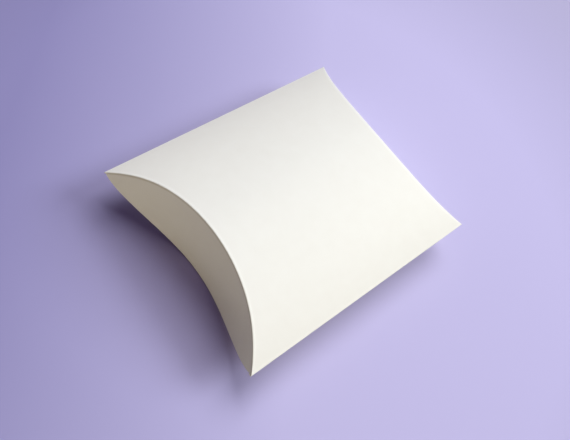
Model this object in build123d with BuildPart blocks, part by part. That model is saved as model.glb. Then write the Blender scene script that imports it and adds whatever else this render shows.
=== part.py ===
from build123d import *
import math
import os

# Pillow box: a sheet of white card bent into two shallow arched panels that meet
# in two long folds, closed at each end by two concave flaps.
# Millimetres. X runs across the folds, Y from end to end, Z up.
# The origin is under the middle of the box, at the lowest line of the round underside.

# Overall sizes
box_width = 100.0          # over the two long folds
box_length = 120.0         # from corner tip to corner tip
panel_rise = 16.5          # height of each arched panel above the plane of the folds

# Card, folds and creases
card = 0.5                 # thickness of the card
fold_strip = 1.2           # width of the strip of card that turns at a long fold
crease_round_share = 0.7   # outer radius of the end crease, of the card thickness
crease_gap = 0.15          # clearance between a panel and the flap creased from it

# End flaps
flap_lean_share = 0.1      # outward lean of a flap at its middle, as a slope
flap_cone_share = 0.36     # a flap's arc widens by this share from the folds to the top
nest_gap = 0.3             # between the outer flap and the inner flap behind it
outer_flap_relief = 2.0    # outer flap stops this far before the long folds
inner_flap_relief = 8.0    # inner flap stops this far before the long folds
swing_margin = 0.3         # inner flap clears the glue tab by this when it swings

# Glued seam
glue = 0.2                 # room for the glue between the tab and the top panel
glue_clearance = 0.03      # keeps the curved faces of glue and card from crossing
tab_width = 15.0           # from the fold to the free edge of the glue tab
tab_end_gap = 3.0          # tab ends this far before the corner tips
tab_taper = 10.0           # extra setback of the tab's free edge at each end
glue_margin = 1.5          # glue line is set in from the tab's long edges
overrun = 5.0              # how far a cutting shape runs past what it cuts

# Derived sizes
half_width = box_width / 2
half_length = box_length / 2
mid_height = panel_rise
fold_start = half_width - fold_strip

# Inner skin of a panel: an arc through both fold lines with the inner rise as its height
inner_half = half_width - card
inner_rise = panel_rise - card
skin_radius = (inner_half ** 2 + inner_rise ** 2) / (2 * inner_rise)
arc_drop = skin_radius - inner_rise
outer_radius = skin_radius + card
top_centre = (0, mid_height - arc_drop)
bottom_centre = (0, mid_height + arc_drop)

# The ends are as deep at the top as the panels are high, so that a flap folded from the
# top crease stands nearly upright. At the height of the folds the flap's arc is
# shallower, because it leans, and it runs through the corner tips.
crease_depth = panel_rise
flap_depth = crease_depth - flap_lean_share * mid_height
flap_radius = (half_width ** 2 + flap_depth ** 2) / (2 * flap_depth)

# The inner flap stands on the bottom panel's end, behind the outer flap
outer_flap_back = -crease_gap
outer_flap_front = outer_flap_back - card
inner_flap_front = outer_flap_back + nest_gap
inner_flap_back = inner_flap_front + card

# Hinge lines, at the middle of the creases
outer_hinge_y = half_length - crease_depth - outer_flap_front
outer_hinge_z = 2 * mid_height
inner_hinge_z = card
foot_lean = flap_lean_share * (mid_height - inner_hinge_z)
inner_hinge_y = half_length - flap_depth + foot_lean - inner_flap_back
swing_radius = skin_radius - glue - card - swing_margin

# The free long edge of the top panel is cut square to the card
edge_reach = (outer_radius + overrun) / outer_radius
edge_x = -half_width * edge_reach
edge_z = top_centre[1] + math.sqrt(outer_radius ** 2 - half_width ** 2) * edge_reach
ceiling = 2 * mid_height + overrun
tab_edge = half_width - tab_width


def end_space(setback):
    """The space outside the front end, up to the oblique cone that the flaps are bent to.
    A setback moves that cone's face into the box."""
    with BuildPart() as space:
        for height in (-overrun, 2 * mid_height + overrun):
            rise = height - mid_height
            radius = flap_radius * (1 + flap_cone_share * rise / mid_height)
            nearest = half_length - flap_depth - flap_lean_share * rise
            with BuildSketch(Plane.XY.offset(height)):
                with Locations((0, -(nearest + radius))):
                    Circle(radius + setback)
        loft(ruled=True)
    return space.part


top_end = end_space(0)
bottom_end = end_space(inner_flap_front)

# Top panel: one arch from the side fold to its free edge over the seam
with BuildPart() as top_panel:
    with BuildSketch(Plane.XZ):
        with Locations(top_centre):
            Circle(outer_radius)
            Circle(skin_radius, mode=Mode.SUBTRACT)
        with BuildLine():
            Polyline(
                top_centre,
                (fold_start, top_centre[1]),
                (fold_start, ceiling),
                (edge_x, ceiling),
                (edge_x, edge_z),
                close=True,
            )
        make_face(mode=Mode.INTERSECT)
    extrude(amount=half_length, both=True)
    add(top_end, mode=Mode.SUBTRACT)
    mirror(top_end, about=Plane.XZ, mode=Mode.SUBTRACT)

# Bottom panel: the same arch turned over, between the two long folds
with BuildPart() as bottom_panel:
    with BuildSketch(Plane.XZ):
        with Locations(bottom_centre):
            Circle(outer_radius)
            Circle(skin_radius, mode=Mode.SUBTRACT)
        Rectangle(2 * fold_start, 2 * mid_height, mode=Mode.INTERSECT)
    extrude(amount=half_length, both=True)
    add(bottom_end, mode=Mode.SUBTRACT)
    mirror(bottom_end, about=Plane.XZ, mode=Mode.SUBTRACT)

# Side fold: the card turns from the bottom panel into the top panel
with BuildPart() as side_fold:
    with BuildSketch(Plane.XZ) as side_section:
        with Locations(top_centre):
            Circle(outer_radius)
        with Locations(bottom_centre):
            Circle(outer_radius, mode=Mode.INTERSECT)
        fillet(side_section.vertices().sort_by(Axis.X)[-1], radius=card)
        with BuildSketch(Plane.XZ, mode=Mode.SUBTRACT):
            with Locations(top_centre):
                Circle(skin_radius)
            with Locations(bottom_centre):
                Circle(skin_radius, mode=Mode.INTERSECT)
        with Locations((half_width, mid_height)):
            Rectangle(2 * fold_strip, 2 * mid_height, mode=Mode.INTERSECT)
    extrude(amount=half_length, both=True)
    add(top_end, mode=Mode.SUBTRACT)
    mirror(top_end, about=Plane.XZ, mode=Mode.SUBTRACT)

# Seam fold: the card turns from the bottom panel into the glue tab
with BuildPart() as seam_fold:
    with BuildSketch(Plane.XZ) as seam_section:
        with Locations(top_centre):
            Circle(skin_radius - glue)
        with Locations(bottom_centre):
            Circle(outer_radius, mode=Mode.INTERSECT)
        fillet(seam_section.vertices().sort_by(Axis.X)[0], radius=card)
        with BuildSketch(Plane.XZ, mode=Mode.SUBTRACT):
            with Locations(top_centre):
                Circle(skin_radius - glue - card)
            with Locations(bottom_centre):
                Circle(skin_radius, mode=Mode.INTERSECT)
        with Locations((-half_width, mid_height)):
            Rectangle(2 * fold_strip, 2 * mid_height, mode=Mode.INTERSECT)
    extrude(amount=half_length, both=True)
    add(top_end, mode=Mode.SUBTRACT)
    mirror(top_end, about=Plane.XZ, mode=Mode.SUBTRACT)

# Glue tab: lies under the top panel's edge, with tapered ends
with BuildPart() as glue_tab:
    with BuildSketch(Plane.XZ):
        with Locations(top_centre):
            Circle(skin_radius - glue)
            Circle(skin_radius - glue - card, mode=Mode.SUBTRACT)
        with Locations((-(fold_start + tab_edge) / 2, mid_height)):
            Rectangle(fold_start - tab_edge, 2 * mid_height, mode=Mode.INTERSECT)
    extrude(amount=half_length, both=True)
    with BuildSketch():
        with BuildLine():
            Polyline(
                (-half_width, -(half_length - tab_end_gap)),
                (-tab_edge, -(half_length - tab_end_gap - tab_taper)),
                (-tab_edge, half_length - tab_end_gap - tab_taper),
                (-half_width, half_length - tab_end_gap),
                close=True,
            )
        make_face()
    extrude(amount=ceiling, mode=Mode.INTERSECT)

# Glue line between the tab and the top panel
with BuildPart() as glue_strip:
    with BuildSketch(Plane.XZ):
        with Locations(top_centre):
            Circle(skin_radius - glue_clearance)
            Circle(skin_radius - glue + glue_clearance, mode=Mode.SUBTRACT)
        with Locations((-(fold_start + tab_edge) / 2, mid_height)):
            Rectangle(
                fold_start - tab_edge - 2 * glue_margin,
                2 * mid_height,
                mode=Mode.INTERSECT,
            )
    extrude(amount=half_length - tab_end_gap - tab_taper, both=True)

# Outer flap: hangs from the top panel's end crease and covers the whole opening
with BuildPart() as front_outer_flap:
    add(end_space(outer_flap_back))
    add(end_space(outer_flap_front), mode=Mode.SUBTRACT)
    with BuildSketch(Plane.XZ):
        with Locations(top_centre):
            Circle(outer_radius)
        with Locations(bottom_centre):
            Circle(skin_radius, mode=Mode.INTERSECT)
        with Locations((0, mid_height)):
            Rectangle(
                2 * (half_width - outer_flap_relief),
                2 * mid_height,
                mode=Mode.INTERSECT,
            )
    extrude(amount=half_length, mode=Mode.INTERSECT)
    crease_edges = front_outer_flap.edges().sort_by(Axis.Z)[-2:]
    fillet(crease_edges.sort_by(Axis.Y)[0], radius=crease_round_share * card)

with BuildPart() as rear_outer_flap:
    mirror(front_outer_flap.part, about=Plane.XZ)

# Inner flap: stands on the bottom panel behind the outer flap. Its free edge is the
# top panel's arch swept about the flap's own crease, so that it can fold into the box.
with BuildPart() as front_inner_flap:
    add(end_space(inner_flap_back))
    add(end_space(inner_flap_front), mode=Mode.SUBTRACT)
    with BuildSketch(Plane.XZ):
        with Locations(bottom_centre):
            Circle(skin_radius - crease_gap)
        with Locations((0, mid_height)):
            Rectangle(
                2 * (half_width - inner_flap_relief),
                2 * mid_height,
                mode=Mode.INTERSECT,
            )
    extrude(amount=half_length, mode=Mode.INTERSECT)
    with BuildSketch(Plane.XZ.offset(inner_hinge_y)):
        with Locations(top_centre):
            Circle(swing_radius)
        with Locations((0, inner_hinge_z + mid_height)):
            Rectangle(box_width, 2 * mid_height, mode=Mode.INTERSECT)
    swing_axis = Axis((0, -inner_hinge_y, inner_hinge_z), (1, 0, 0))
    revolve(axis=swing_axis, revolution_arc=360, mode=Mode.INTERSECT)

with BuildPart() as rear_inner_flap:
    mirror(front_inner_flap.part, about=Plane.XZ)

top_panel.part.label = "top_panel"
bottom_panel.part.label = "bottom_panel"
side_fold.part.label = "side_fold"
seam_fold.part.label = "seam_fold"
glue_tab.part.label = "glue_tab"
glue_strip.part.label = "glue_strip"
front_outer_flap.part.label = "front_outer_flap"
rear_outer_flap.part.label = "rear_outer_flap"
front_inner_flap.part.label = "front_inner_flap"
rear_inner_flap.part.label = "rear_inner_flap"

os.makedirs("parts", exist_ok=True)
export_step(top_panel.part, "parts/top_panel.step")
export_step(bottom_panel.part, "parts/bottom_panel.step")
export_step(side_fold.part, "parts/side_fold.step")
export_step(seam_fold.part, "parts/seam_fold.step")
export_step(glue_tab.part, "parts/glue_tab.step")
export_step(glue_strip.part, "parts/glue_strip.step")
export_step(front_outer_flap.part, "parts/front_outer_flap.step")
export_step(rear_outer_flap.part, "parts/rear_outer_flap.step")
export_step(front_inner_flap.part, "parts/front_inner_flap.step")
export_step(rear_inner_flap.part, "parts/rear_inner_flap.step")

for piece in (
    top_panel,
    bottom_panel,
    side_fold,
    seam_fold,
    glue_tab,
    glue_strip,
    front_outer_flap,
    rear_outer_flap,
    front_inner_flap,
    rear_inner_flap,
):
    box = piece.part.bounding_box()
    print(piece.part.label, len(piece.part.solids()), round(piece.part.volume, 2), box.min, box.max)
print("outer hinge y", outer_hinge_y, "z", outer_hinge_z)
print("inner hinge y", inner_hinge_y, "z", inner_hinge_z)
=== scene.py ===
import bpy
import math
from mathutils import Matrix, Vector


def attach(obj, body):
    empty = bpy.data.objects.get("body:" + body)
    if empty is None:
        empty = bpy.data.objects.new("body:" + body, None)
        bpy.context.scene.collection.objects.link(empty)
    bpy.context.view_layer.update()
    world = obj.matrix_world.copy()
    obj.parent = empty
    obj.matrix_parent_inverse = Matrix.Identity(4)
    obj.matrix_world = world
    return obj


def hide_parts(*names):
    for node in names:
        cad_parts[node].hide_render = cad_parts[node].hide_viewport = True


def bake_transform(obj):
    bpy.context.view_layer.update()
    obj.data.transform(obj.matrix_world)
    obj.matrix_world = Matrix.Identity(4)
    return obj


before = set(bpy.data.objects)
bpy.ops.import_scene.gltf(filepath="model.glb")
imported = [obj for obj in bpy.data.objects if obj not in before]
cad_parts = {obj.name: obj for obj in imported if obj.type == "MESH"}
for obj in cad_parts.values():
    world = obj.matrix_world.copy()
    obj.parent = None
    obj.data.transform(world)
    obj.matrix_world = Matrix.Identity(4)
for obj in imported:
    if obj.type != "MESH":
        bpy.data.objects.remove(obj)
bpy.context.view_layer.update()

# ---------------------------------------------------------------- camera
# A hand-held camera a quarter of a metre above the near end of the box, with a normal lens.
camera_place = (0.07217, -0.13304, 0.2506)
camera_right = Vector((0.60252, 0.763, 0.2341)).normalized()
camera_up = Vector((-0.76027, 0.45946, 0.45923)).normalized()
bpy.ops.object.camera_add(location=camera_place)
camera = bpy.context.object
camera.name = "camera"
camera.data.lens = 41.48
camera.data.sensor_width = 36.0
camera.data.clip_start = 0.01
camera.data.clip_end = 20
axes = Matrix((camera_right, camera_up, camera_right.cross(camera_up))).transposed()
camera.matrix_world = Matrix.Translation(camera_place) @ axes.to_4x4()
bpy.context.scene.camera = camera

# ---------------------------------------------------------------- top panel
# The upper face of the box: one sheet of white carton board, bleached all through and
# coated on the outside, bent into a shallow arch. It is cut to a curve at both ends,
# where the outer flaps are scored and folded from it, and square along its free edge.
mm = 0.001
card = 0.5                      # board thickness, mm
half_width = 50.0
half_length = 60.0
fold_height = 16.5              # the long folds lie this high
arch_rise = fold_height - card
skin_radius = ((half_width - card) ** 2 + arch_rise ** 2) / (2 * arch_rise)
outer_radius = skin_radius + card
arch_centre = fold_height - (skin_radius - arch_rise)
fold_start = 48.8               # the long folds begin here
flap_lean = 0.1                 # how the ends lean
flap_depth = fold_height * (1 - flap_lean)
flap_radius = (half_width ** 2 + flap_depth ** 2) / (2 * flap_depth)
flap_cone = 0.36                # and widen upwards
cells_across = 120
cells_along = 88
row_crowding = 1.5              # rows of cells lie closer together towards the ends
worn_width = 0.6                # a fold bruises the coating this far from its line, mm


def end_face(x, z, setback):
    """How far from the middle of the box its end lies, at x and z, for a face set back."""
    rise = z - fold_height
    radius = flap_radius * (1 + flap_cone * rise / fold_height)
    nearest = half_length - flap_depth - flap_lean * rise
    return nearest + radius - math.sqrt((radius + setback) ** 2 - x * x)


def top_arch(x, radius=outer_radius):
    return arch_centre + math.sqrt(radius * radius - x * x)


def colour(code):
    """An sRGB hex colour as a linear one."""
    parts = [int(code[i:i + 2], 16) / 255 for i in (0, 2, 4)]
    return [p / 12.92 if p <= 0.04045 else ((p + 0.055) / 1.055) ** 2.4 for p in parts] + [1.0]


def node(material, kind, links=(), **settings):
    """Adds a node, sets its sockets or properties, and links other nodes' outputs into it."""
    made = material.node_tree.nodes.new(kind)
    for name, value in settings.items():
        if hasattr(made, name):
            setattr(made, name, value)
        else:
            made.inputs[name.replace("_", " ")].default_value = value
    for source, output, target in links:
        material.node_tree.links.new(source.outputs[output], made.inputs[target])
    return made


def new_material(name):
    made = bpy.data.materials.new(name)
    made.use_nodes = True
    return made, made.node_tree.nodes["Principled BSDF"], made.node_tree.links


def clear_selection():
    if bpy.context.object and bpy.context.object.mode != "OBJECT":
        bpy.ops.object.mode_set(mode="OBJECT")
    bpy.ops.object.select_all(action="DESELECT")


def edit(piece, chosen=None):
    """Opens the piece in edit mode with all its points selected, or those chosen by place."""
    clear_selection()
    bpy.context.view_layer.objects.active = piece
    piece.select_set(True)
    bpy.ops.object.mode_set(mode="EDIT")
    bpy.ops.mesh.select_mode(type="VERT")
    bpy.ops.mesh.select_all(action="DESELECT" if chosen else "SELECT")
    if chosen:
        bpy.ops.object.mode_set(mode="OBJECT")
        for point in piece.data.vertices:
            point.select = chosen(*(c / mm for c in point.co))
        bpy.ops.object.mode_set(mode="EDIT")


def board_edge(name, x, z):
    """One straight edge of a sheet, along the box, ready to be spun or extruded."""
    clear_selection()
    bpy.ops.mesh.primitive_grid_add(x_subdivisions=1, y_subdivisions=cells_along,
                                    size=2 * half_length * mm,
                                    location=((x - half_length) * mm, 0, z * mm))
    bpy.ops.object.transform_apply(location=True, rotation=False, scale=False)
    edge = bpy.context.object
    edge.name = name
    edge.data.name = name
    edit(edge, lambda px, py, pz: px < x - half_length)
    bpy.ops.mesh.delete(type="VERT")
    edit(edge)
    return edge


def fit_ends(sheet, setback):
    """Draws a sheet's straight ends in to the box's curved ones, with its rows closer there.
    The ends are cut to a cone, which no plane or spin gives, so its points are moved."""
    bpy.ops.object.mode_set(mode="OBJECT")
    for point in sheet.data.vertices:
        share = point.co.y / (half_length * mm)
        share = math.copysign(1 - (1 - min(abs(share), 1)) ** row_crowding, share)
        end = min(half_length, end_face(point.co.x / mm, point.co.z / mm, setback))
        point.co.y = share * end * mm


def face_outwards(sheet, way):
    """Turns the sheet's faces over if they don't look the given way."""
    total = sum((face.normal * face.area for face in sheet.data.polygons), Vector())
    if total.dot(Vector(way)) < 0:
        edit(sheet)
        bpy.ops.mesh.flip_normals()
        bpy.ops.object.mode_set(mode="OBJECT")


def mark(sheet, name, share):
    """Marks each point by a fold's wear, or by a score's crushed fibre and painted shade."""
    marks = sheet.data.attributes.new(name, "FLOAT", "POINT")
    for point in sheet.data.vertices:
        marks.data[point.index].value = share(*(c / mm for c in point.co))


def thicken(sheet):
    """Gives the sheet the board's thickness, its finishes on face, back and cut edges."""
    for finish in board_finishes:
        sheet.data.materials.append(finish)
    clear_selection()
    bpy.context.view_layer.objects.active = sheet
    sheet.select_set(True)
    board = sheet.modifiers.new("board", "SOLIDIFY")
    board.thickness = card * mm
    board.offset = -1.0
    board.use_quality_normals = True
    if "pressed_thin" in sheet.vertex_groups:
        board.vertex_group = "pressed_thin"
    board.material_offset = 1
    board.material_offset_rim = 2
    bpy.ops.object.modifier_apply(modifier="board")
    bpy.ops.object.shade_smooth_by_angle(angle=math.radians(40))


# Clay-coated bleached board, calendered smooth: a soft, barely satin white, a little
# clouded where the fibres lie thicker, with the coating bruised paler along a fold.
coated_board, shader, links = new_material("coated_bleached_board")
place = node(coated_board, "ShaderNodeTexCoord")
cloud = node(coated_board, "ShaderNodeTexNoise", [(place, "Object", "Vector")],
             Scale=1 / (6 * mm), Detail=4.0, Roughness=0.6)
white = node(coated_board, "ShaderNodeMix", [(cloud, "Fac", "Factor")], data_type="RGBA")
white.inputs[6].default_value = colour("f3f1ec")
white.inputs[7].default_value = colour("f7f6f2")
worn = node(coated_board, "ShaderNodeAttribute", attribute_name="fold_wear")
pale = node(coated_board, "ShaderNodeMix", [(worn, "Fac", "Factor")], data_type="RGBA")
links.new(white.outputs[2], pale.inputs[6])
pale.inputs[7].default_value = colour("fdfcf8")
# painted shade: the score beside a crease is darkened, partly for crushed fibre, partly as
# painted shade
pressed = node(coated_board, "ShaderNodeAttribute", attribute_name="score_crush_and_shade")
scored = node(coated_board, "ShaderNodeMix", [(pressed, "Fac", "Factor")], data_type="RGBA")
links.new(pale.outputs[2], scored.inputs[6])
scored.inputs[7].default_value = colour("d8d4c9")
links.new(scored.outputs[2], shader.inputs["Base Color"])
# the calender's grain is about 0.1 mm, drawn as 0.5 mm so that it shows
grain = node(coated_board, "ShaderNodeTexNoise", [(place, "Object", "Vector")],
             Scale=1 / (0.5 * mm), Detail=3.0)
gloss = node(coated_board, "ShaderNodeMapRange", [(grain, "Fac", "Value")],
             To_Min=0.46, To_Max=0.6)
links.new(gloss.outputs[0], shader.inputs["Roughness"])
shader.inputs["Specular IOR Level"].default_value = 0.25
# a sheet of board never lies quite even: it sways by a third of a millimetre
sway = node(coated_board, "ShaderNodeTexNoise", [(place, "Object", "Vector")],
            Scale=1 / (38 * mm), Detail=1.0)
slow = node(coated_board, "ShaderNodeBump", [(sway, "Fac", "Height")],
            Strength=1.0, Distance=0.35 * mm)
fine = node(coated_board, "ShaderNodeBump",
            [(grain, "Fac", "Height"), (slow, "Normal", "Normal")],
            Strength=0.25, Distance=0.02 * mm)
links.new(fine.outputs["Normal"], shader.inputs["Normal"])

# The uncoated back of the board: warmer and quite matt, with fibres that lie along it.
board_back, shader, links = new_material("uncoated_board_back")
place = node(board_back, "ShaderNodeTexCoord")
# fibres are 0.03 mm wide and 2 mm long, drawn 0.3 mm wide so that they show
lie = node(board_back, "ShaderNodeMapping", [(place, "Object", "Vector")], Scale=(1, 0.15, 1))
fibre = node(board_back, "ShaderNodeTexNoise", [(lie, "Vector", "Vector")],
             Scale=1 / (0.3 * mm), Detail=4.0, Roughness=0.7)
cream = node(board_back, "ShaderNodeMix", [(fibre, "Fac", "Factor")], data_type="RGBA")
cream.inputs[6].default_value = colour("e9e3d6")
cream.inputs[7].default_value = colour("f3eee4")
links.new(cream.outputs[2], shader.inputs["Base Color"])
shader.inputs["Roughness"].default_value = 0.8
nap = node(board_back, "ShaderNodeBump", [(fibre, "Fac", "Height")],
           Strength=0.5, Distance=0.03 * mm)
links.new(nap.outputs["Normal"], shader.inputs["Normal"])

# The die-cut edge of the board: pressed layers of bare fibre, slightly darker and rough.
cut_edge, shader, links = new_material("die_cut_board_edge")
place = node(cut_edge, "ShaderNodeTexCoord")
layers = node(cut_edge, "ShaderNodeTexNoise", [(place, "Object", "Vector")],
              Scale=1 / (0.25 * mm), Detail=5.0, Roughness=0.7)
core = node(cut_edge, "ShaderNodeMix", [(layers, "Fac", "Factor")], data_type="RGBA")
core.inputs[6].default_value = colour("ddd7ca")
core.inputs[7].default_value = colour("f1ede4")
links.new(core.outputs[2], shader.inputs["Base Color"])
shader.inputs["Roughness"].default_value = 0.9
torn = node(cut_edge, "ShaderNodeBump", [(layers, "Fac", "Height")],
            Strength=0.8, Distance=0.05 * mm)
links.new(torn.outputs["Normal"], shader.inputs["Normal"])
board_finishes = (coated_board, board_back, cut_edge)


def end_wear(x, y, z):
    return math.exp(-((end_face(x, z, 0) - abs(y)) / worn_width) ** 2)


top_panel = board_edge("top_panel_board", -half_width, top_arch(half_width))
bpy.ops.mesh.spin(steps=cells_across, center=(0, 0, arch_centre * mm), axis=(0, -1, 0),
                  angle=math.asin(half_width / outer_radius)
                  + math.asin(fold_start / outer_radius))
fit_ends(top_panel, 0)
face_outwards(top_panel, (0, 0, 1))
mark(top_panel, "fold_wear", end_wear)
thicken(top_panel)
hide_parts("top_panel")
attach(top_panel, "carton")

# ---------------------------------------------------------------- bottom panel
# The under face: the same arch turned over, from one long fold to the other. Its ends
# stop just inside the outer flaps, where the inner flaps are scored from it.
inner_face = 0.15               # how far inside the ends an inner flap's outer face lies
bottom_end = 0.7                # and the panel's own end
round_centre = 2 * fold_height - arch_centre


def bottom_arch(x, radius=outer_radius):
    return round_centre - math.sqrt(radius * radius - x * x)


bottom_panel = board_edge("bottom_panel_board", -fold_start, bottom_arch(fold_start))
bpy.ops.mesh.spin(steps=cells_across, center=(0, 0, round_centre * mm), axis=(0, 1, 0),
                  angle=2 * math.asin(fold_start / outer_radius))
fit_ends(bottom_panel, bottom_end)
face_outwards(bottom_panel, (0, 0, -1))
mark(bottom_panel, "fold_wear", end_wear)
thicken(bottom_panel)
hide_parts("bottom_panel")
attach(bottom_panel, "carton")

# ---------------------------------------------------------------- side fold
# The long fold where the board turns from the bottom panel into the top one: a score
# pressed along the sheet and folded nearly flat, so its nose is as round as the board.
nose_cut = 0.38                 # the rounded nose stands this far back from a sharp fold
nose_steps = 12
hair = 0.01                     # points are picked by place to this, mm


def folded_strip(name, side, upper_radius):
    """Board from the upper arch out to the fold and back under, its corner bevelled round."""
    # the two arches cross at this height and this far out
    corner_z = (upper_radius ** 2 - outer_radius ** 2 + round_centre ** 2 - arch_centre ** 2)
    corner_z /= 2 * (round_centre - arch_centre)
    corner_x = math.sqrt(upper_radius ** 2 - (corner_z - arch_centre) ** 2)
    run = corner_x - fold_start
    out = side * run * mm
    start_z = top_arch(fold_start, upper_radius)
    slant = math.hypot(run, start_z - corner_z)
    strip = board_edge(name, side * fold_start, start_z)
    bpy.ops.mesh.extrude_region_move(
        TRANSFORM_OT_translate={"value": (out, 0, (corner_z - start_z) * mm)})
    bpy.ops.mesh.extrude_region_move(
        TRANSFORM_OT_translate={"value": (-out, 0, (bottom_arch(fold_start) - corner_z) * mm)})
    edit(strip, lambda x, y, z: abs(x) > corner_x - hair)
    # a bevel's curve passes (2 - sqrt 2) of its offset, measured along the middle, inside
    bpy.ops.mesh.bevel(offset=nose_cut * slant / run / (2 - math.sqrt(2)) * mm,
                       segments=nose_steps, affect="EDGES")
    return strip


def nose_wear(x, y, z):
    return max(end_wear(x, y, z), 0.8 * math.exp(-((half_width - abs(x)) / 0.5) ** 2))


side_fold = folded_strip("side_fold_board", 1, outer_radius)
fit_ends(side_fold, 0)
face_outwards(side_fold, (1, 0, 0))
mark(side_fold, "fold_wear", nose_wear)
thicken(side_fold)
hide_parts("side_fold")
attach(side_fold, "carton")

# ---------------------------------------------------------------- seam fold
# The other long fold: the board turns from the bottom panel into the glue tab, and lies
# just under the top panel's cut edge.
glue_room = 0.2
seam_end = 0.6                  # its ends are cut this far back from the top panel's
seam_fold = folded_strip("seam_fold_board", -1, skin_radius - glue_room)
fit_ends(seam_fold, seam_end)
face_outwards(seam_fold, (-1, 0, 0))
mark(seam_fold, "fold_wear", nose_wear)
thicken(seam_fold)
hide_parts("seam_fold")
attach(seam_fold, "carton")

# ---------------------------------------------------------------- glue tab and glue
# The tapered tab under the seam is the same board. The glue is a thin line of white
# paper glue, pressed out while wet and dried to a cloudy cream film.
glue_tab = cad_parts["glue_tab"]
glue_tab.data.materials.clear()
glue_tab.data.materials.append(board_back)

dried_glue, shader, links = new_material("dried_paper_glue")
place = node(dried_glue, "ShaderNodeTexCoord")
smear = node(dried_glue, "ShaderNodeTexNoise", [(place, "Object", "Vector")],
             Scale=1 / (2 * mm), Detail=3.0)
film = node(dried_glue, "ShaderNodeMix", [(smear, "Fac", "Factor")], data_type="RGBA")
film.inputs[6].default_value = colour("d9d0b6")
film.inputs[7].default_value = colour("ece6d3")
links.new(film.outputs[2], shader.inputs["Base Color"])
shader.inputs["Roughness"].default_value = 0.35
shader.inputs["IOR"].default_value = 1.47
ripple = node(dried_glue, "ShaderNodeBump", [(smear, "Fac", "Height")],
              Strength=0.6, Distance=0.1 * mm)
links.new(ripple.outputs["Normal"], shader.inputs["Normal"])
glue_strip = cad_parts["glue_strip"]
glue_strip.data.materials.clear()
glue_strip.data.materials.append(dried_glue)

# ---------------------------------------------------------------- outer flaps
# The lens-shaped flap that closes each end, scored from the top panel along its curved
# end and folded down. The curved crease pulls the board into a hollow arc. Each runs to
# a thin point at the long folds.
outer_face = -0.65              # the flap's outer face lies this far out from the ends
roll = 0.4                      # how far the crease's rounding reaches
roll_share = 0.45               # or this share of the flap's height where it is narrow
score = 0.08                    # depth of the score pressed beside the crease
score_gap = 0.3                 # and how far beyond the rounding it lies
score_width = 0.3
# painted shade: the score's darkening, crushed fibre and painted shade, spreads this wide
score_crush_and_shade_width = 0.35               # its darkening is a little wider
crease_worn = 0.2               # the coating is bruised this far from the crease
thin_start = 40.0               # from here the crease closes up towards the tips
tip_closing = 0.9               # by this share
tip_start = 47.4                # from here the flap is cut to its points
flap_tip = 49.5
tip_room = 0.3                  # a point lies this far under the panel
squeeze_start = 45.5            # the board is pressed thinner in the points
squeeze = 0.85                  # by this share
flap_cells_across = 160
roll_rows = 6
face_rows = 30
face_crowding = 1.6             # its rows lie closer together towards the crease
flap_rows = 1 + roll_rows + face_rows


def flat_flap(name, half_span):
    """A flat sheet of cells standing at the front of the box, to be bent into a flap."""
    clear_selection()
    bpy.ops.mesh.primitive_grid_add(x_subdivisions=flap_cells_across, y_subdivisions=flap_rows,
                                    size=2 * half_span * mm, rotation=(math.pi / 2, 0, 0),
                                    location=(0, -half_length * mm, fold_height * mm))
    bpy.ops.object.transform_apply(location=True, rotation=True, scale=False)
    sheet = bpy.context.object
    sheet.name = name
    sheet.data.name = name
    return sheet


def bend_flap(sheet, half_span, panel_setback, face_setback, crease, free_edge):
    """Bends the sheet: a lip on the panel's end, the rounded crease, and the hollow face.
    The face is part of a cone between two arches, so its points are placed one by one."""
    for point in sheet.data.vertices:
        x = point.co.x / mm
        row = round((0.5 + (point.co.z / mm - fold_height) / (2 * half_span)) * flap_rows)
        z = crease(x)
        height = free_edge(x) - z
        near_tip = max(0, abs(x) - thin_start) / (flap_tip - thin_start)
        face = face_setback + (panel_setback - face_setback) * tip_closing * near_tip ** 2
        reach = min(roll, roll_share * abs(height))
        down = z + math.copysign(reach, height)
        corner = Vector((end_face(x, z, face), z))
        lip = Vector((min(end_face(x, z, panel_setback), corner.x), z))
        start = Vector((max(corner.x - reach, lip.x), z))
        finish = Vector((end_face(x, down, face), down))
        if row == 0:
            at = lip
        elif row <= 1 + roll_rows:
            t = (row - 1) / roll_rows
            at = start * (1 - t) ** 2 + corner * 2 * t * (1 - t) + finish * t * t
        else:
            share = ((row - 1 - roll_rows) / face_rows) ** face_crowding
            level = down + (free_edge(x) - down) * share
            pressed = score * math.exp(-((abs(level - z) - roll - score_gap) / score_width) ** 2)
            at = Vector((end_face(x, level, face + pressed), level))
        point.co = Vector((x, -at.x, at.y)) * mm
    squeezed = sheet.vertex_groups.new(name="pressed_thin")
    for point in sheet.data.vertices:
        near_tip = max(0, abs(point.co.x / mm) - squeeze_start) / (flap_tip - squeeze_start)
        squeezed.add([point.index], 1 - squeeze * near_tip, "REPLACE")


def flap_foot(x):
    """The outer flap's free edge: along the bottom panel's skin, then up to each tip."""
    foot = bottom_arch(x, skin_radius)
    taper = max(0, abs(x) - tip_start) / (flap_tip - tip_start)
    tip = top_arch(flap_tip) - tip_room
    return foot + (tip - foot) * (1 - math.sqrt(max(0, 1 - taper * taper)))


# painted shade along the outer flap's score, with the darkening of its crushed fibre
def crease_score_crush_and_shade(x, y, z):
    return math.exp(-((top_arch(x) - z - roll - score_gap) / score_crush_and_shade_width) ** 2)


def crease_wear(x, y, z):
    return 0.7 * math.exp(-((top_arch(x) - z) / crease_worn) ** 2)


outer_flap = flat_flap("front_outer_flap_board", flap_tip)
bend_flap(outer_flap, flap_tip, 0, outer_face, top_arch, flap_foot)
face_outwards(outer_flap, (0, -1, 0))
mark(outer_flap, "fold_wear", crease_wear)
mark(outer_flap, "score_crush_and_shade", crease_score_crush_and_shade)
thicken(outer_flap)


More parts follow.
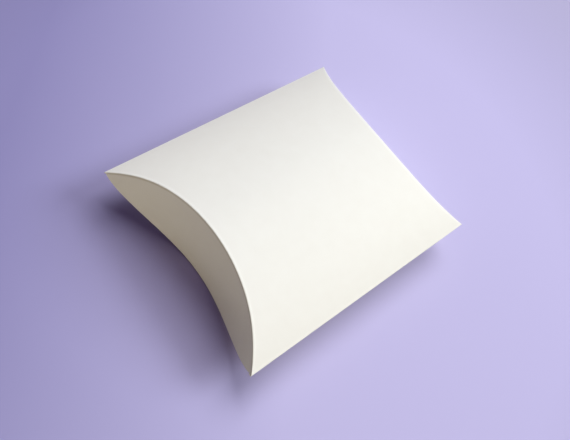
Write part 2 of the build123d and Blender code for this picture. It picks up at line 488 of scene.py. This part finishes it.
def turned_copy(piece, name):
    """A copy with its own mesh, turned half round to the other end of the box."""
    clear_selection()
    bpy.context.view_layer.objects.active = piece
    piece.select_set(True)
    bpy.ops.object.duplicate()
    copy = bpy.context.object
    copy.name = name
    copy.data.name = name
    edit(copy)
    bpy.ops.transform.rotate(value=math.pi, orient_axis="Z", center_override=(0, 0, 0))
    bpy.ops.object.mode_set(mode="OBJECT")
    return copy


rear_outer_flap = turned_copy(outer_flap, "rear_outer_flap_board")
for flap, body, way in ((outer_flap, "front_outer_flap", 1),
                        (rear_outer_flap, "rear_outer_flap", -1)):
    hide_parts(body)
    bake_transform(flap)

# ---------------------------------------------------------------- inner flaps
# The flap behind each outer one, of the same board, scored from the bottom panel and
# folded up. It is cut back at its sides, and its free edge clears the glue tab.
inner_half = 42.0
round_start = 38.5              # its corners are cut round from here
round_drop = 3.0                # and down by this much
swing_room = 0.3                # it passes the tab by this much as it swings
swing_radius = skin_radius - glue_room - card - swing_room
inner_hinge = half_length - flap_depth + flap_lean * arch_rise - inner_face - card
sweep_rounds = 8                # enough for the swept edge to settle


def inner_free_edge(x):
    """The inner flap's free edge: the top arch swept about the flap's own crease."""
    reach = top_arch(x, swing_radius) - card
    z = reach + card
    for _ in range(sweep_rounds):
        out = end_face(x, z, inner_face) - inner_hinge
        z = card + math.sqrt(max(reach * reach - out * out, 0))
    corner = max(0, abs(x) - round_start) / (inner_half - round_start)
    return z - round_drop * (1 - math.sqrt(max(0, 1 - corner * corner)))


# painted shade along the inner flap's score, with the darkening of its crushed fibre
def inner_score_crush_and_shade(x, y, z):
    return math.exp(-((z - bottom_arch(x) - roll - score_gap) / score_crush_and_shade_width) ** 2)


def inner_wear(x, y, z):
    return 0.7 * math.exp(-((z - bottom_arch(x)) / crease_worn) ** 2)


inner_flap = flat_flap("front_inner_flap_board", inner_half)
bend_flap(inner_flap, inner_half, bottom_end, inner_face, bottom_arch, inner_free_edge)
face_outwards(inner_flap, (0, -1, 0))
mark(inner_flap, "fold_wear", inner_wear)
mark(inner_flap, "score_crush_and_shade", inner_score_crush_and_shade)
thicken(inner_flap)
rear_inner_flap = turned_copy(inner_flap, "rear_inner_flap_board")
for flap, body, way in ((inner_flap, "front_inner_flap", 1),
                        (rear_inner_flap, "rear_inner_flap", -1)):
    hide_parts(body)
    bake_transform(flap)

# ---------------------------------------------------------------- floor and light
# A sheet of plain lilac backing paper that runs back to a pale wall, and soft daylight
# from behind and to one side.
wall_colour = "c8c3e4"
lilac_paper, shader, links = new_material("lilac_backing_paper")
place = node(lilac_paper, "ShaderNodeTexCoord")
# painted light: paler towards the window, painted darker towards the sheet's edge
apart = node(lilac_paper, "ShaderNodeVectorMath", [(place, "Object", 0)], operation="DOT_PRODUCT")
apart.inputs[1].default_value = (0.7071, 0.7071, 0)
share = node(lilac_paper, "ShaderNodeMapRange", [(apart, "Value", "Value")],
             From_Min=-0.125, From_Max=0.01)
lilac = node(lilac_paper, "ShaderNodeMix", [(share, "Result", "Factor")], data_type="RGBA")
lilac.inputs[6].default_value = colour("918bbf")
lilac.inputs[7].default_value = colour("c5beea")
apart = node(lilac_paper, "ShaderNodeVectorMath", [(place, "Object", 0)], operation="LENGTH")
painted_edge_shade = node(lilac_paper, "ShaderNodeMapRange", [(apart, "Value", "Value")],
           From_Min=0.14, From_Max=0.27, To_Min=1.0, To_Max=0.7)
lilac_with_painted_light = node(lilac_paper, "ShaderNodeVectorMath", [(lilac, 2, 0), (painted_edge_shade, "Result", "Scale")],
             operation="SCALE")
rays = node(lilac_paper, "ShaderNodeLightPath")
direct = node(lilac_paper, "ShaderNodeMath",
              [(rays, "Is Camera Ray", 0), (rays, "Is Glossy Ray", 1)], operation="MAXIMUM")
seen = node(lilac_paper, "ShaderNodeMath",
            [(direct, "Value", 0), (rays, "Is Transmission Ray", 1)], operation="MAXIMUM")
# the light that it throws on the box is greyer than its face, so the white card stays white
facing = node(lilac_paper, "ShaderNodeMix", [(seen, "Value", "Factor")], data_type="RGBA")
facing.inputs[6].default_value = colour("b5b1ab")
links.new(lilac_with_painted_light.outputs[0], facing.inputs[7])
links.new(facing.outputs[2], shader.inputs["Base Color"])
shader.inputs["Roughness"].default_value = 0.9
# far behind the box, what the camera sees of it melts into the pale wall
haze = node(lilac_paper, "ShaderNodeMapRange", [(apart, "Value", "Value")],
            From_Min=0.2, From_Max=0.42)
hazy = node(lilac_paper, "ShaderNodeMath", [(haze, "Result", 0), (seen, "Value", 1)],
            operation="MULTIPLY")
wall = node(lilac_paper, "ShaderNodeEmission", Color=colour(wall_colour))
paper = node(lilac_paper, "ShaderNodeMixShader",
             [(hazy, "Value", "Fac"), (shader, "BSDF", 1), (wall, "Emission", 2)])
links.new(paper.outputs["Shader"],
          lilac_paper.node_tree.nodes["Material Output"].inputs["Surface"])
clear_selection()
bpy.ops.mesh.primitive_plane_add(size=4, location=(0, 0, 0))
floor = bpy.context.object
floor.name = "floor"
floor.data.materials.append(lilac_paper)

world = bpy.data.worlds.new("daylight")
bpy.context.scene.world = world
world.use_nodes = True
sky = world.node_tree.nodes["Background"]
sky.inputs["Color"].default_value = colour("b46ee6")
sky.inputs["Strength"].default_value = 0.07
wall = node(world, "ShaderNodeBackground", Color=colour(wall_colour))
rays = node(world, "ShaderNodeLightPath")
direct = node(world, "ShaderNodeMath",
              [(rays, "Is Camera Ray", 0), (rays, "Is Glossy Ray", 1)], operation="MAXIMUM")
seen = node(world, "ShaderNodeMath",
            [(direct, "Value", 0), (rays, "Is Transmission Ray", 1)], operation="MAXIMUM")
sky_or_wall = node(world, "ShaderNodeMixShader",
                   [(seen, "Value", "Fac"), (sky, "Background", 1), (wall, "Background", 2)])
world.node_tree.links.new(sky_or_wall.outputs["Shader"],
                          world.node_tree.nodes["World Output"].inputs["Surface"])

lamp_aim = Vector((0, 0, 0.015))


def soft_lamp(name, way, distance, width, height, spread, energy, tint):
    """A diffused lamp, round or oval, that faces the box from the given direction."""
    way = Vector(way).normalized()
    bpy.ops.object.light_add(type="AREA", location=lamp_aim + way * distance)
    lamp = bpy.context.object
    lamp.name = name
    lamp.data.shape = "ELLIPSE"
    lamp.data.size = width
    lamp.data.size_y = height
    lamp.data.spread = math.radians(spread)
    lamp.data.energy = energy
    lamp.data.color = colour(tint)[:3]
    lamp.rotation_euler = way.to_track_quat("Z", "Y").to_euler()


soft_lamp("window_light", (0.48, 0.85, 0.74), 2.4, 1.1, 1.1, 180, 33.2, "f9fffc")
soft_lamp("ceiling_light", (-0.2, 0.55, 0.95), 2.4, 1.8, 1.8, 180, 44.5, "fdfff8")
# what pale walls round the table send back, low and warm
soft_lamp("wall_bounce", (1.0, -0.5, 0.1), 2.0, 0.7, 0.24, 60, 0.99, "fff4cc")
soft_lamp("near_wall_bounce", (0.0, -1.0, 0.1), 2.0, 0.7, 0.24, 60, 0.29, "fff4b6")

bpy.context.scene.view_settings.view_transform = "Standard"
